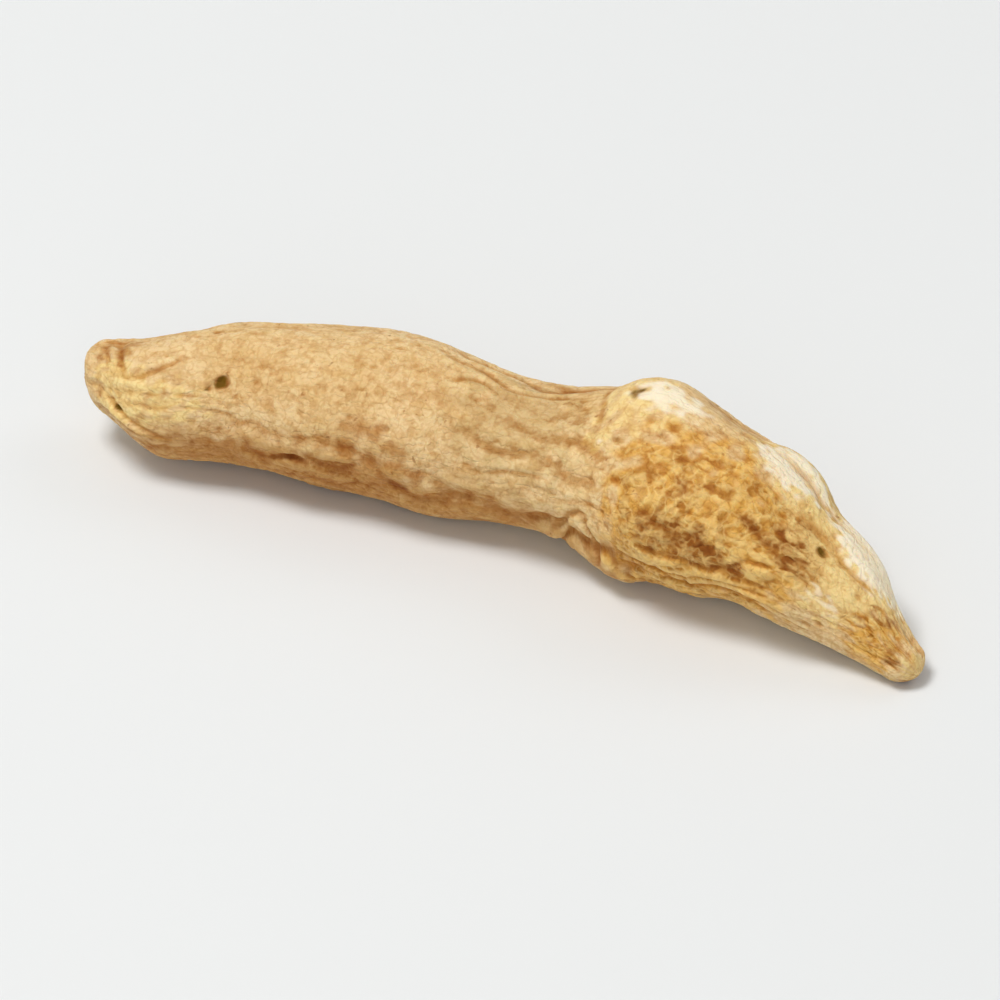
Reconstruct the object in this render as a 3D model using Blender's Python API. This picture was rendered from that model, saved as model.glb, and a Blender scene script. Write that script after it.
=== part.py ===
"""A dried ophiopogon tuber, one piece as it grew and dried, lying on its side.

Its spine is a gentle bow that drops to the floor at the thin end. Closed rings are set along the
spine and joined into one skin, and that skin carries the swellings, hollows, lengthwise shrink
folds, end pleats and pits of the dried root. Where its belly presses on the floor it is flat.
Lengths named _MM are in millimetres, and the mesh is in metres. +X runs from the blunt stem end to
the thin end, and +Z is up.
"""

import bmesh
import bpy
import numpy as np

METRES_PER_MM = 0.001

# The spine and girth, read in order from the blunt end to the thin end, in millimetres:
# distance along the spine, X, Y, height of the spine over the floor, and mean radius.
STATIONS_MM = (
    (0.0, -13.94, -1.50, 2.12, 0.90),
    (2.6, -11.42, -1.38, 2.20, 1.78),
    (5.5, -8.76, -0.50, 2.30, 2.18),
    (8.7, -5.68, 0.24, 2.34, 2.50),
    (11.5, -2.95, 0.62, 2.36, 2.46),
    (14.4, -0.05, 0.82, 2.44, 2.20),
    (16.6, 2.20, 1.10, 2.56, 2.40),
    (19.6, 5.22, 1.11, 2.72, 2.91),
    (21.8, 7.34, 0.78, 2.48, 2.65),
    (23.6, 9.02, 0.36, 2.13, 2.12),
    (25.4, 10.70, -0.04, 1.60, 1.54),
    (27.2, 12.35, -0.46, 0.97, 1.00),
    (29.0, 13.92, -0.90, 0.43, 0.50),
)
WHOLE_MM = STATIONS_MM[-1][0]

# The blunt end is squarish, and leans towards one turn of its rim. The thin end is a rounded tip.
BLUNT_CAP_MM = 0.8
BLUNT_CAP_POWER = 5.0
BLUNT_SLANT = 0.26
BLUNT_SLANT_TURN = 133
BLUNT_SLANT_REACH_MM = 2.5
THIN_CAP_MM = 0.55

WIDER_THAN_TALL = 1.04
SLOPE_STEP_MM = 0.05
LEAST_RADIUS_MM = 0.2

# Swellings and hollows of the dried body: distance along the spine, turn about it in degrees,
# reach along, reach across, and height. A turn of 0 faces -Y, 90 faces up and 270 faces down.
SWELLINGS_MM = (
    (18.0, 118, 1.6, 2.0, 0.38),
    (17.8, 98, 0.9, 1.1, 0.12),
    (15.8, 100, 1.5, 1.9, -0.16),
    (21.0, 25, 3.2, 1.6, 0.16),
    (22.6, 80, 2.6, 1.3, -0.13),
    (20.1, 134, 1.3, 1.3, -0.52),
    (22.5, 134, 0.9, 1.0, 0.14),
    (22.8, 316, 1.5, 1.3, -0.30),
    (18.1, 316, 1.2, 1.3, 0.46),
    (9.6, 78, 3.6, 1.7, 0.10),
    (6.4, 20, 2.8, 1.2, -0.10),
    (13.2, 318, 2.0, 1.5, 0.18),
    (12.2, 200, 3.4, 1.5, -0.22),
    (7.2, 165, 2.6, 1.6, 0.16),
    (17.6, 190, 2.4, 1.5, 0.18),
    (21.8, 175, 2.8, 1.0, -0.20),
    (1.2, 135, 1.0, 1.2, -0.12),
    (2.7, 305, 0.9, 1.1, 0.20),
    (23.8, 134, 0.6, 0.9, -0.10),
    (25.6, 134, 1.0, 1.0, 0.26),
    (28.0, 134, 0.7, 0.8, -0.10),
    (26.2, 20, 1.6, 0.8, -0.08),
)

# Long shrink folds that are plain to see: start and end along the spine, turn at each, half width
# of the valley, and depth.
LONG_FOLDS_MM = (
    (1.2, 9.0, 76, 66, 0.24, 0.05),
    (3.0, 13.5, 20, 8, 0.30, 0.06),
    (9.0, 20.5, 348, 342, 0.34, 0.12),
    (12.5, 18.0, 48, 30, 0.24, 0.08),
    (17.0, 26.5, 338, 352, 0.30, 0.11),
    (18.5, 27.5, 8, 20, 0.26, 0.05),
    (2.0, 12.0, 134, 156, 0.34, 0.12),
    (11.0, 17.5, 122, 116, 0.30, 0.12),
    (4.5, 20.0, 186, 204, 0.42, 0.30),
    (14.5, 25.5, 162, 176, 0.34, 0.22),
    (6.0, 15.5, 226, 238, 0.34, 0.20),
    (16.5, 27.0, 222, 214, 0.36, 0.22),
    (1.5, 7.5, 300, 312, 0.30, 0.14),
    (20.5, 27.5, 118, 104, 0.26, 0.03),
)

# How every fold runs: the share of its length over which each end fades out, how far it wanders
# to either side and how fast, and its two lips, in shares of its depth and of its half width.
FOLD_FADE_SHARE = 0.25
WANDER_RADIANS = 0.06
WANDER_TURNS_PER_MM = 2.3
LIP_HEIGHT_SHARE = 0.3
LIP_PLACE_SHARE = 2.0

# The pucker where the root was bent as it dried: it runs round the inner side of the bend.
PUCKER_ALONG_MM = 16.2
PUCKER_TURNS = (305, 352)
PUCKER_SLANT_MM = 1.1
PUCKER_HALF_WIDTH_MM = 0.20
PUCKER_DEPTH_MM = 0.15
PUCKER_FADE_SHARE = 0.3

# Pits of fallen rootlets: distance along, turn, half length, half width and depth.
PITS_MM = (
    (4.73, 53, 0.19, 0.17, 0.16),
    (4.32, 48, 0.13, 0.10, 0.05),
    (1.64, 9, 0.17, 0.12, 0.14),
    (24.66, 80, 0.18, 0.17, 0.14),
    (17.95, 99, 0.26, 0.28, 0.06),
    (17.97, 63, 0.15, 0.12, 0.07),
    (13.2, 170, 0.24, 0.20, 0.16),
    (20.2, 204, 0.24, 0.20, 0.14),
)

# The scar where the root was pulled from its stem: a shallow dish in the blunt end.
SCAR_REACH_MM = 0.55
SCAR_DEPTH_MM = 0.20

# Pleats gathered at each end: how many, how far in from the end they reach, the distance over
# which they rise, and their height.
BLUNT_PLEATS = 9
BLUNT_PLEAT_REACH_MM = 2.4
BLUNT_PLEAT_RISE_MM = 0.8
BLUNT_PLEAT_HEIGHT_MM = 0.07
THIN_PLEATS = 7
THIN_PLEAT_REACH_MM = 2.6
THIN_PLEAT_RISE_MM = 0.6
THIN_PLEAT_HEIGHT_MM = 0.05

# All relief dies away to nothing at the very ends, over these distances.
SMOOTH_BLUNT_MM = 0.7
SMOOTH_THIN_MM = 0.6

# Small folds scattered by a seeded rule: least and most of each measure.
SCATTER_SEED = 29
SCATTERED_FOLDS = 30
SCATTERED_UNEVENNESS_DEGREES = 8
SCATTERED_FROM_BLUNT_MM = 0.8
SCATTERED_FROM_THIN_MM = 1.0
SCATTERED_LENGTH_MM = (2.5, 6.5)
SCATTERED_HALF_WIDTH_MM = (0.20, 0.30)
SCATTERED_DEPTH_MM = (0.04, 0.12)
SCATTERED_DRIFT_DEGREES = 16

# Places where the skin is drawn smooth: distance along, turn, reach along and across, and the
# share by which the scattered folds are shallower there.
SMOOTH_PLACES_MM = (
    (2.0, 45, 1.8, 1.6, 0.75),
    (6.5, 72, 5.5, 2.6, 0.75),
    (18.2, 92, 1.6, 1.5, 0.90),
    (12.5, 60, 3.2, 3.0, 0.60),
)

# Mesh of the skin: rings over the blunt cap, along the body and over the thin cap, and points
# round a ring.
BLUNT_CAP_RINGS = 7
BODY_RINGS = 80
THIN_CAP_RINGS = 4
POINTS_ROUND = 60

FLOOR_CUT_TOLERANCE_M = 1e-7

SKIN_COLOUR = (0.66, 0.43, 0.185, 1.0)
SKIN_ROUGHNESS = 0.62


def clear_scene():
    for item in list(bpy.data.objects):
        bpy.data.objects.remove(item)


def smooth_through(knots, values, at):
    """Cubic curve through the values at the knots, with each knot's slope taken from its neighbours."""
    slopes = np.gradient(values, knots)
    cell = np.clip(np.searchsorted(knots, at, side="right") - 1, 0, len(knots) - 2)
    width = knots[cell + 1] - knots[cell]
    t = (at - knots[cell]) / width
    start, end = values[cell], values[cell + 1]
    leave, arrive = slopes[cell] * width, slopes[cell + 1] * width
    return (
        (2 * t**3 - 3 * t**2 + 1) * start
        + (t**3 - 2 * t**2 + t) * leave
        + (3 * t**2 - 2 * t**3) * end
        + (t**3 - t**2) * arrive
    )


def spine(along):
    """Points, side directions and up directions along the spine, for distances in millimetres."""
    table = np.array(STATIONS_MM)
    columns = [smooth_through(table[:, 0], table[:, column], along) for column in (1, 2, 3)]
    ahead = np.clip(along + SLOPE_STEP_MM, 0, WHOLE_MM)
    behind = np.clip(along - SLOPE_STEP_MM, 0, WHOLE_MM)
    run = np.stack(
        [
            smooth_through(table[:, 0], table[:, column], ahead)
            - smooth_through(table[:, 0], table[:, column], behind)
            for column in (1, 2, 3)
        ],
        axis=-1,
    )
    run /= np.linalg.norm(run, axis=-1, keepdims=True)
    side = np.cross(run, (0.0, 0.0, 1.0))
    side /= np.linalg.norm(side, axis=-1, keepdims=True)
    return np.stack(columns, axis=-1), side, np.cross(side, run)


def girth(along):
    """Mean radius in millimetres: the stations' radius, closed by a cap at each end."""
    table = np.array(STATIONS_MM)
    radius = smooth_through(table[:, 0], table[:, 4], along)
    into_blunt = np.clip(1 - along / BLUNT_CAP_MM, 0, 1)
    into_thin = np.clip(1 - (WHOLE_MM - along) / THIN_CAP_MM, 0, 1)
    blunt = (1 - into_blunt**BLUNT_CAP_POWER) ** (1 / BLUNT_CAP_POWER)
    return radius * blunt * np.sqrt(1 - into_thin**2)


def across(turn, centre, radius):
    """Distance round the body, in millimetres, from a centre line given in radians."""
    return (np.mod(turn - centre + np.pi, 2 * np.pi) - np.pi) * radius


def ease(value):
    """Rises smoothly from 0 to 1."""
    value = np.clip(value, 0, 1)
    return value * value * (3 - 2 * value)


def valley(offset, half_width):
    """A fold's cross-section: a rounded valley of depth 1 between two low lips."""
    lips = np.exp(-((np.abs(offset) / half_width - LIP_PLACE_SHARE) ** 2))
    return LIP_HEIGHT_SHARE * lips - np.exp(-((offset / half_width) ** 2))


def bells(rows, along, turn, radius):
    """Sum of bell-shaped mounds, each with a reach along the spine and a reach across it."""
    height = np.zeros_like(turn)
    for at, degrees, reach, width, rise in rows:
        offset = across(turn, np.radians(degrees), radius)
        height += rise * np.exp(-(((along - at) / reach) ** 2) - (offset / width) ** 2)
    return height


def fold(along, turn, radius, start, end, turn_start, turn_end, half_width, depth):
    """One lengthwise fold, which wanders a little and fades out at both of its ends."""
    share = (along - start) / (end - start)
    wander = WANDER_RADIANS * np.sin(WANDER_TURNS_PER_MM * along + turn_start)
    centre = np.radians(turn_start + (turn_end - turn_start) * share) + wander
    fade = ease(share / FOLD_FADE_SHARE) * ease((1 - share) / FOLD_FADE_SHARE)
    return depth * fade * valley(across(turn, centre, radius), half_width)


def scattered_folds(along, turn, radius):
    """Small folds drawn by a seeded rule, evenly round the body and shallower in smooth places."""
    height = np.zeros_like(turn)
    draw = np.random.default_rng(SCATTER_SEED)
    for number in range(SCATTERED_FOLDS):
        length = draw.uniform(*SCATTERED_LENGTH_MM)
        start = draw.uniform(SCATTERED_FROM_BLUNT_MM, WHOLE_MM - SCATTERED_FROM_THIN_MM - length)
        degrees = 360 * number / SCATTERED_FOLDS
        degrees += draw.uniform(-SCATTERED_UNEVENNESS_DEGREES, SCATTERED_UNEVENNESS_DEGREES)
        drift = draw.uniform(-SCATTERED_DRIFT_DEGREES, SCATTERED_DRIFT_DEGREES)
        half_width = draw.uniform(*SCATTERED_HALF_WIDTH_MM)
        depth = draw.uniform(*SCATTERED_DEPTH_MM)
        height += fold(
            along, turn, radius, start, start + length, degrees, degrees + drift, half_width, depth
        )
    return height * np.clip(1 - bells(SMOOTH_PLACES_MM, along, turn, radius), 0, 1)


def pucker(along, turn):
    first, last = np.radians(PUCKER_TURNS)
    share = (np.mod(turn, 2 * np.pi) - first) / (last - first)
    fade = ease(share / PUCKER_FADE_SHARE) * ease((1 - share) / PUCKER_FADE_SHARE)
    centre = PUCKER_ALONG_MM + PUCKER_SLANT_MM * (share - 0.5)
    return PUCKER_DEPTH_MM * fade * valley(along - centre, PUCKER_HALF_WIDTH_MM)


def end_pleats(along, turn):
    blunt = ease(along / BLUNT_PLEAT_RISE_MM) * ease(1 - along / BLUNT_PLEAT_REACH_MM)
    from_thin = WHOLE_MM - along
    thin = ease(from_thin / THIN_PLEAT_RISE_MM) * ease(1 - from_thin / THIN_PLEAT_REACH_MM)
    height = BLUNT_PLEAT_HEIGHT_MM * blunt * np.cos(BLUNT_PLEATS * turn)
    return height + THIN_PLEAT_HEIGHT_MM * thin * np.cos(THIN_PLEATS * turn)


def relief(along, turn, radius):
    """Millimetres that the skin stands out from, or sinks into, the plain round body."""
    pits = [(at, degrees, reach, width, -depth) for at, degrees, reach, width, depth in PITS_MM]
    body = bells(SWELLINGS_MM, along, turn, radius) + bells(pits, along, turn, radius)
    body += sum(fold(along, turn, radius, *row) for row in LONG_FOLDS_MM)
    body += scattered_folds(along, turn, radius) + pucker(along, turn) + end_pleats(along, turn)
    return body * ease(along / SMOOTH_BLUNT_MM) * ease((WHOLE_MM - along) / SMOOTH_THIN_MM)


def skin(along, turn):
    """Points of the skin in millimetres, for arrays of distance along and turn round the spine."""
    centre, side, up = spine(along)
    radius = girth(along)
    reach = radius + relief(along, turn, np.maximum(radius, LEAST_RADIUS_MM))
    wide = reach * np.cos(turn) * WIDER_THAN_TALL
    tall = reach * np.sin(turn) / WIDER_THAN_TALL
    scar = SCAR_DEPTH_MM * np.exp(-((reach / SCAR_REACH_MM) ** 2)) * (along < BLUNT_CAP_MM)
    lean = BLUNT_SLANT * reach * np.cos(turn - np.radians(BLUNT_SLANT_TURN))
    points = centre + side * wide[..., None] + up * tall[..., None]
    points[..., 0] += scar - lean * (1 - ease(along / BLUNT_SLANT_REACH_MM))
    return points


def ring_places():
    """Distances of the rings: evenly spaced over the curve of each cap, and along the body."""
    over_blunt = 1 - np.cos(np.arange(1, BLUNT_CAP_RINGS) / BLUNT_CAP_RINGS * np.pi / 2)
    over_thin = 1 - np.cos(np.arange(1, THIN_CAP_RINGS) / THIN_CAP_RINGS * np.pi / 2)
    body = np.linspace(BLUNT_CAP_MM, WHOLE_MM - THIN_CAP_MM, BODY_RINGS)
    return np.concatenate([BLUNT_CAP_MM * over_blunt, body, WHOLE_MM - THIN_CAP_MM * over_thin[::-1]])


def skin_mesh():
    """Rings of points bridged into one closed skin, with a fan of triangles over each end."""
    turns = np.arange(POINTS_ROUND) * 2 * np.pi / POINTS_ROUND
    along, turn = np.meshgrid(ring_places(), turns, indexing="ij")
    rings = skin(along, turn)
    ends = skin(np.array([0.0, WHOLE_MM]), np.zeros(2))
    made = bmesh.new()
    rows = [[made.verts.new(point * METRES_PER_MM) for point in ring] for ring in rings]
    blunt, thin = (made.verts.new(point * METRES_PER_MM) for point in ends)
    for number in range(POINTS_ROUND):
        after = (number + 1) % POINTS_ROUND
        for row, beyond in zip(rows, rows[1:]):
            made.faces.new((row[number], beyond[number], beyond[after], row[after]))
        made.faces.new((blunt, rows[0][number], rows[0][after]))
        made.faces.new((thin, rows[-1][after], rows[-1][number]))
    return made


def flatten_belly(made):
    """Cuts off what dips below the floor and closes each cut with one flat face."""
    bmesh.ops.bisect_plane(
        made,
        geom=made.verts[:] + made.edges[:] + made.faces[:],
        dist=FLOOR_CUT_TOLERANCE_M,
        plane_co=(0, 0, 0),
        plane_no=(0, 0, -1),
        clear_outer=True,
    )
    open_edges = [edge for edge in made.edges if edge.is_boundary]
    bmesh.ops.holes_fill(made, edges=open_edges)
    bmesh.ops.recalc_face_normals(made, faces=made.faces)


def centre_on_origin(made):
    """Moves the body so that the origin is under the middle of its box, on the floor."""
    points = np.array([vertex.co for vertex in made.verts])
    middle = (points.min(axis=0) + points.max(axis=0)) / 2
    bmesh.ops.translate(made, verts=made.verts, vec=(-middle[0], -middle[1], 0))


def skin_material():
    material = bpy.data.materials.new("dried_tuber_skin")
    material.use_nodes = True
    shader = material.node_tree.nodes["Principled BSDF"]
    shader.inputs["Base Color"].default_value = SKIN_COLOUR
    shader.inputs["Roughness"].default_value = SKIN_ROUGHNESS
    shader.inputs["Metallic"].default_value = 0.0
    material.diffuse_color = SKIN_COLOUR
    return material


def make_tuber():
    made = skin_mesh()
    flatten_belly(made)
    centre_on_origin(made)
    mesh = bpy.data.meshes.new("tuber")
    made.to_mesh(mesh)
    made.free()
    mesh.materials.append(skin_material())
    mesh.shade_smooth()
    tuber = bpy.data.objects.new("tuber", mesh)
    bpy.context.scene.collection.objects.link(tuber)
    return tuber


def main():
    clear_scene()
    make_tuber()


main()
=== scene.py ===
"""The looks of a dried ophiopogon tuber and of a plain stage for it.

The tuber's skin is one surface, a function of two parameters: the distance along its spine in
millimetres, and the turn round the spine, where 0 faces -Y, 90 degrees faces up, 180 faces +Y and
270 faces down. The first part of the file repeats the form of the solid that carries it. The second
part adds what is finer: wrinkles, worm-like puckers, creases, pores and pits. Lengths named _MM are
in millimetres.
"""

import math

import bpy
import numpy as np
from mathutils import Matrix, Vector


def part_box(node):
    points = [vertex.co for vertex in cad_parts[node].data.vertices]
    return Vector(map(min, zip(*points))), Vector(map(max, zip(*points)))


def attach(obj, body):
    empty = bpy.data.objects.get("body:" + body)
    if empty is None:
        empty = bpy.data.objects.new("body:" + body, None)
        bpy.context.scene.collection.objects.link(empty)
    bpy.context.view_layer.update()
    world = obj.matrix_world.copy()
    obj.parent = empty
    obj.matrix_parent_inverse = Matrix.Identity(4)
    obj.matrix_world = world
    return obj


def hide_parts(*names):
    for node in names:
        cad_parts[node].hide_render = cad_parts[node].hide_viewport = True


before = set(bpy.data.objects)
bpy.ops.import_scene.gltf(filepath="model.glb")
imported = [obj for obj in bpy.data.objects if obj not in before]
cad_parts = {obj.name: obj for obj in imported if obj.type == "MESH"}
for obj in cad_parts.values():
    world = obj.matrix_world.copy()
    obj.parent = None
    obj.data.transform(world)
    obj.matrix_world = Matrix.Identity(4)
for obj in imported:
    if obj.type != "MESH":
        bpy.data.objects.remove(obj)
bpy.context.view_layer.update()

METRES_PER_MM = 0.001
FULL_TURN = 2 * np.pi

bl_info = {
    "name": "Dried Ophiopogon Tuber",
    "version": (1, 0, 0),
    "blender": (4, 5, 0),
    "location": "3D View > Sidebar > Tuber",
    "description": "Builds a dried ophiopogon tuber with its skin, and a plain stage for it",
    "category": "Add Mesh",
}

# The spine and girth, read in order from the blunt end to the thin end, in millimetres:
# distance along the spine, X, Y, height of the spine over the floor, and mean radius.
STATIONS_MM = (
    (0.0, -13.94, -1.50, 2.12, 0.90),
    (2.6, -11.42, -1.38, 2.20, 1.78),
    (5.5, -8.76, -0.50, 2.30, 2.18),
    (8.7, -5.68, 0.24, 2.34, 2.50),
    (11.5, -2.95, 0.62, 2.36, 2.46),
    (14.4, -0.05, 0.82, 2.44, 2.20),
    (16.6, 2.20, 1.10, 2.56, 2.40),
    (19.6, 5.22, 1.11, 2.72, 2.91),
    (21.8, 7.34, 0.78, 2.48, 2.65),
    (23.6, 9.02, 0.36, 2.13, 2.12),
    (25.4, 10.70, -0.04, 1.60, 1.54),
    (27.2, 12.35, -0.46, 0.97, 1.00),
    (29.0, 13.92, -0.90, 0.43, 0.50),
)
WHOLE_MM = STATIONS_MM[-1][0]
BLUNT_CAP_MM = 0.8
BLUNT_CAP_POWER = 5.0
BLUNT_SLANT = 0.26
BLUNT_SLANT_TURN = 133
BLUNT_SLANT_REACH_MM = 2.5
THIN_CAP_MM = 0.55
WIDER_THAN_TALL = 1.04
SLOPE_STEP_MM = 0.05
LEAST_RADIUS_MM = 0.2

# Swellings and hollows of the dried body: distance along the spine, turn about it in degrees,
# reach along, reach across, and height.
SWELLINGS_MM = (
    (18.0, 118, 1.6, 2.0, 0.38),
    (17.8, 98, 0.9, 1.1, 0.12),
    (15.8, 100, 1.5, 1.9, -0.16),
    (21.0, 25, 3.2, 1.6, 0.16),
    (22.6, 80, 2.6, 1.3, -0.13),
    (20.1, 134, 1.3, 1.3, -0.52),
    (22.5, 134, 0.9, 1.0, 0.14),
    (22.8, 316, 1.5, 1.3, -0.30),
    (18.1, 316, 1.2, 1.3, 0.46),
    (9.6, 78, 3.6, 1.7, 0.10),
    (6.4, 20, 2.8, 1.2, -0.10),
    (13.2, 318, 2.0, 1.5, 0.18),
    (12.2, 200, 3.4, 1.5, -0.22),
    (7.2, 165, 2.6, 1.6, 0.16),
    (17.6, 190, 2.4, 1.5, 0.18),
    (21.8, 175, 2.8, 1.0, -0.20),
    (1.2, 135, 1.0, 1.2, -0.12),
    (2.7, 305, 0.9, 1.1, 0.20),
    (23.8, 134, 0.6, 0.9, -0.10),
    (25.6, 134, 1.0, 1.0, 0.26),
    (28.0, 134, 0.7, 0.8, -0.10),
    (26.2, 20, 1.6, 0.8, -0.08),
)

# Long shrink folds: start and end along the spine, turn at each, half width of the valley, depth.
LONG_FOLDS_MM = (
    (1.2, 9.0, 76, 66, 0.24, 0.02),
    (3.0, 13.5, 20, 8, 0.30, 0.06),
    (9.0, 20.5, 348, 342, 0.34, 0.12),
    (12.5, 18.0, 48, 30, 0.24, 0.08),
    (17.0, 26.5, 338, 352, 0.30, 0.11),
    (18.5, 27.5, 8, 20, 0.26, 0.05),
    (2.0, 12.0, 134, 156, 0.34, 0.12),
    (11.0, 17.5, 122, 116, 0.30, 0.12),
    (4.5, 20.0, 186, 204, 0.42, 0.30),
    (14.5, 25.5, 162, 176, 0.34, 0.22),
    (6.0, 15.5, 226, 238, 0.34, 0.20),
    (16.5, 27.0, 222, 214, 0.36, 0.22),
    (1.5, 7.5, 300, 312, 0.30, 0.14),
    (20.5, 27.5, 118, 104, 0.26, 0.03),
)
FOLD_FADE_SHARE = 0.25
WANDER_RADIANS = 0.06
WANDER_TURNS_PER_MM = 2.3
LIP_HEIGHT_SHARE = 0.3
LIP_PLACE_SHARE = 2.0

# The pucker where the root was bent as it dried.
PUCKER_ALONG_MM = 16.2
PUCKER_TURNS = (305, 352)
PUCKER_SLANT_MM = 1.1
PUCKER_HALF_WIDTH_MM = 0.20
PUCKER_DEPTH_MM = 0.15
PUCKER_FADE_SHARE = 0.3

# Pits of fallen rootlets: distance along, turn, half length, half width and depth.
PITS_MM = (
    (4.73, 53, 0.19, 0.17, 0.16),
    (4.32, 48, 0.13, 0.10, 0.05),
    (1.64, 9, 0.17, 0.12, 0.14),
    (24.66, 80, 0.18, 0.17, 0.14),
    (17.95, 99, 0.26, 0.28, 0.06),
    (17.97, 63, 0.15, 0.12, 0.07),
    (13.2, 170, 0.24, 0.20, 0.16),
    (20.2, 204, 0.24, 0.20, 0.14),
)

# Dark insides of the pits and stains: distance along, turn, reach along, reach across, strength.
DARK_SPOTS_MM = (
    (4.73, 53, 0.25, 0.21, 1.1),
    (4.30, 47, 0.19, 0.11, 0.65),
    (1.64, 9, 0.20, 0.14, 1.0),
    (24.66, 80, 0.21, 0.19, 1.0),
    (17.92, 96, 0.30, 0.40, 0.75),
    (17.97, 63, 0.15, 0.12, 0.65),
    (13.2, 170, 0.28, 0.24, 1.0),
    (20.2, 204, 0.28, 0.24, 1.0),
)

# The scar where the root was pulled from its stem, and the pleats gathered at each end.
SCAR_REACH_MM = 0.55
SCAR_DEPTH_MM = 0.20
BLUNT_PLEATS = 9
BLUNT_PLEAT_REACH_MM = 2.4
BLUNT_PLEAT_RISE_MM = 0.8
BLUNT_PLEAT_HEIGHT_MM = 0.07
THIN_PLEATS = 7
THIN_PLEAT_REACH_MM = 2.6
THIN_PLEAT_RISE_MM = 0.6
THIN_PLEAT_HEIGHT_MM = 0.05
SMOOTH_BLUNT_MM = 0.7
SMOOTH_THIN_MM = 0.6

# Small folds scattered by a seeded rule: least and most of each measure.
SCATTER_SEED = 29
SCATTERED_FOLDS = 30
SCATTERED_UNEVENNESS_DEGREES = 8
SCATTERED_FROM_BLUNT_MM = 0.8
SCATTERED_FROM_THIN_MM = 1.0
SCATTERED_LENGTH_MM = (2.5, 6.5)
SCATTERED_HALF_WIDTH_MM = (0.20, 0.30)
SCATTERED_DEPTH_MM = (0.04, 0.12)
SCATTERED_DRIFT_DEGREES = 16

# Rings of the fine skin: over the blunt cap, along the body and over the thin cap.
CAP_RINGS = (26, 12)
MEAN_RADIUS_MM = 2.2

# Creases drawn one by one: half width, depth (a ridge where it is below 0), and the places that
# each runs through, as distance along and turn in degrees.
CREASES_MM = (
    (0.12, 0.08, (1.11, 113), (1.32, 88), (1.54, 69), (1.81, 52)),
    (0.12, 0.04, (0.72, 108), (0.90, 76), (1.15, 56)),
    (0.11, 0.08, (2.15, 56), (2.65, 58), (3.10, 63), (3.40, 71)),
    (0.16, -0.07, (1.35, 33), (2.15, 42), (3.10, 41)),
    (0.09, 0.04, (2.40, 37), (4.05, 39), (4.90, 33)),
    (0.09, 0.04, (2.10, 24), (3.40, 26), (4.15, 24), (5.40, 24)),
    (0.09, 0.03, (2.60, 31), (4.00, 32), (5.60, 29)),
    (0.13, -0.13, (1.05, 4), (1.60, -1), (2.10, -8), (2.70, -17)),
    (0.10, 0.09, (6.60, -6), (7.29, -4), (7.75, -7)),
    (0.12, 0.10, (15.82, -26), (16.20, -12), (16.59, 2), (16.95, 5), (17.17, 3)),
    (0.10, 0.09, (17.17, 3), (17.65, -14), (17.72, -28), (17.60, -40)),
    (0.16, 0.04, (17.05, 70), (17.00, 84), (16.72, 104), (16.80, 118)),
    (0.10, 0.06, (19.30, 4), (20.50, 4), (22.43, 8), (23.00, 20), (23.40, 31), (24.20, 38)),
    (0.10, 0.07, (18.60, -14), (20.30, -12), (21.83, -7), (23.26, 4), (24.51, 11)),
    (0.10, 0.05, (19.60, -22), (21.40, -20), (23.00, -10), (24.60, 0), (25.80, 4)),
    (0.08, 0.05, (12.00, 86), (12.36, 91), (13.00, 89), (13.40, 82)),
    (0.10, 0.04, (13.38, 22), (14.80, 23), (16.03, 28)),
    (0.10, 0.05, (10.89, 110), (12.40, 104), (13.64, 94), (15.82, 100)),
)
CREASE_FADE_MM = 0.35

# Random patterns: how far wave lengths spread, and how many waves make a broad and a fine one.
WAVE_SPREAD = 0.25
BROAD_WAVES = 24
FINE_WAVES = 32

# Wrinkles: lengthwise and crosswise size of the mesh that they form, half width of a furrow as a
# share of the pattern's swing, and depth as a share of the wrinkle depth. A broad pattern makes
# them deeper and shallower: the mean and swing of that.
WRINKLES = (
    (3.2, 0.95, 0.26, 0.28),
    (1.8, 0.60, 0.34, 0.70),
    (0.9, 0.38, 0.45, 0.60),
)
WRINKLE_WAVES = 48
WRINKLE_SEED = 51
WRINKLE_STRENGTH = (0.6, 0.4)
WRINKLE_STRENGTH_MESH_MM = (3.0, 2.0)

# Places where the skin is drawn smooth: distance along, turn, reach along and across, and the
# share by which wrinkles and scattered folds are shallower there.
SMOOTH_PLACES_MM = (
    (2.0, 45, 1.8, 1.6, 0.75),
    (6.5, 72, 5.5, 2.6, 0.75),
    (18.2, 92, 1.6, 1.5, 0.90),
    (12.5, 60, 3.2, 3.0, 0.60),
)

# Worm-like puckers, plain to see on the thickest third and faint elsewhere: sizes of a round mesh
# and of one drawn out lengthwise, and the places where the lengthwise one takes over. Their
# strength has a mean and a swing, and they are lower where the radius is less than the full one.
WORMS_MM = ((1.05, 0.70), (1.70, 0.66))
WORM_SPREAD = 0.40
WORM_HALF_WIDTH = 0.62
WORM_LENGTHWISE_MM = (
    (13.6, 60, 4.2, 5.0, 1.3),
    (17.0, 0, 2.0, 2.0, 0.6),
    (19.5, 335, 3.4, 1.3, 1.3),
    (23.5, 350, 3.4, 1.0, 1.3),
    (13.0, 200, 6.0, 2.0, 1.0),
)
WORM_PLAIN_SHARE = 0.30
WORM_NECK_SHARE = 0.45
WORM_BREAK_MESH_MM = (1.5, 1.1)
WORM_STRENGTH = (1.24, 0.76)
WORM_VALLEY_SHARE = 0.6
WORM_FULL_RADIUS_MM = 1.8
WORM_WAVES = 80
WORM_SEED = 83
WORM_VALLEY_SEED = 88
WORM_BREAK_SEED = 93

# Broad unevenness of the dried body.
LUMP_MESH_MM = (4.2, 3.2)
LUMP_HEIGHT_MM = 0.035
LUMP_SEED = 7

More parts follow.
